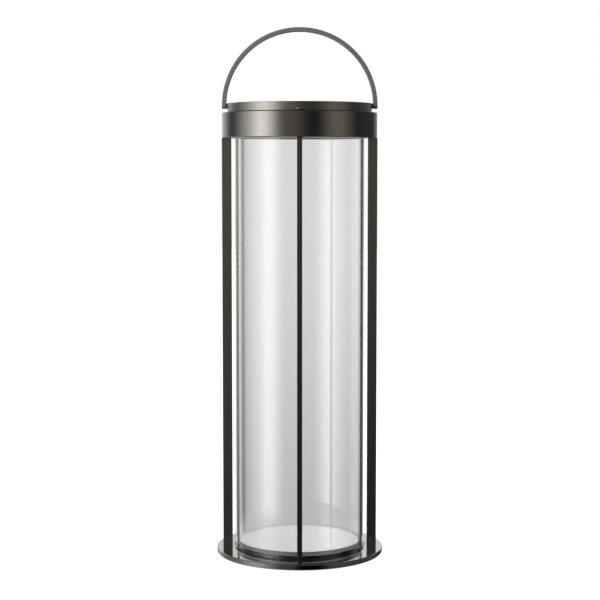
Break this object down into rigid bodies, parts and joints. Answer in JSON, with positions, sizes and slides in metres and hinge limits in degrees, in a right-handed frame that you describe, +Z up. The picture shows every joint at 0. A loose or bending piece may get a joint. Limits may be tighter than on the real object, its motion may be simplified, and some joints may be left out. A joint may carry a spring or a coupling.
{
  "type": "candle lantern",
  "caption": "Tall floor lantern: round base, upright bars, top band with collar and folding bail, and a clear glass tube round a glass-topped candle platform.",
  "frame": {"origin": "on the standing surface under the centre of the round base", "axes": "+Z up along the glass tube; -Y is the front; the handle's pivots lie on the X axis direction, left and right"},
  "size_m": [0.1824, 0.1824, 0.5745],
  "materials": {
    "gunmetal": "dark bronze-grey plated steel, satin",
    "tube_glass": "clear drawn tube, polished",
    "plate_glass": "clear float glass, ground and polished edge, pale green in the edge",
    "seal_silicone": "translucent grey silicone, smooth",
    "foot_rubber": "black rubber, matt",
    "dark_screws": "blackened steel, slightly glossy",
    "washer_nylon": "black nylon, matt"
  },
  "bodies": {
    "frame": {"base_plate": "gunmetal", "candle_platform": "gunmetal", "foot_seal": "seal_silicone", "top_band": "gunmetal", "collar": "gunmetal", "guide_seal": "seal_silicone", "plate_pad_1": "seal_silicone", "platform_screw_1": "dark_screws", "plate_pad_2": "seal_silicone", "platform_screw_2": "dark_screws", "plate_pad_3": "seal_silicone", "platform_screw_3": "dark_screws", "post_right": "gunmetal", "post_foot_screw_right": "dark_screws", "post_head_screw_right": "dark_screws", "post_back": "gunmetal", "post_foot_screw_back": "dark_screws", "post_head_screw_back": "dark_screws", "post_left": "gunmetal", "post_foot_screw_left": "dark_screws", "post_head_screw_left": "dark_screws", "post_front": "gunmetal", "post_foot_screw_front": "dark_screws", "post_head_screw_front": "dark_screws", "collar_screw_1": "dark_screws", "foot_1": "foot_rubber", "collar_screw_2": "dark_screws", "foot_2": "foot_rubber", "collar_screw_3": "dark_screws", "foot_3": "foot_rubber", "collar_screw_4": "dark_screws", "foot_4": "foot_rubber", "pivot_washer_left": "washer_nylon", "pivot_washer_right": "washer_nylon", "rest_stud_front": "gunmetal", "rest_stud_back": "gunmetal"},
    "handle": {"handle": "gunmetal", "pivot_screw_left": "dark_screws", "pivot_screw_right": "dark_screws"},
    "glass_tube": {"glass_cylinder": "tube_glass"},
    "candle_plate": {"glass_plate": "plate_glass"}
  },
  "joints": [
    {"name": "handle_fold", "type": "hinge", "parent": "frame", "child": "handle", "pos_m": [0, 0, 0.4902], "axis": [1, 0, 0], "range_deg": [-90, 90]},
    {"name": "glass_lift", "type": "slide", "parent": "frame", "child": "glass_tube", "axis": [0, 0, 1], "range_m": [0, 0.052]},
    {"name": "plate_lift", "type": "slide", "parent": "frame", "child": "candle_plate", "axis": [0, 0, 1], "range_m": [0, 0.5]}
  ]
}
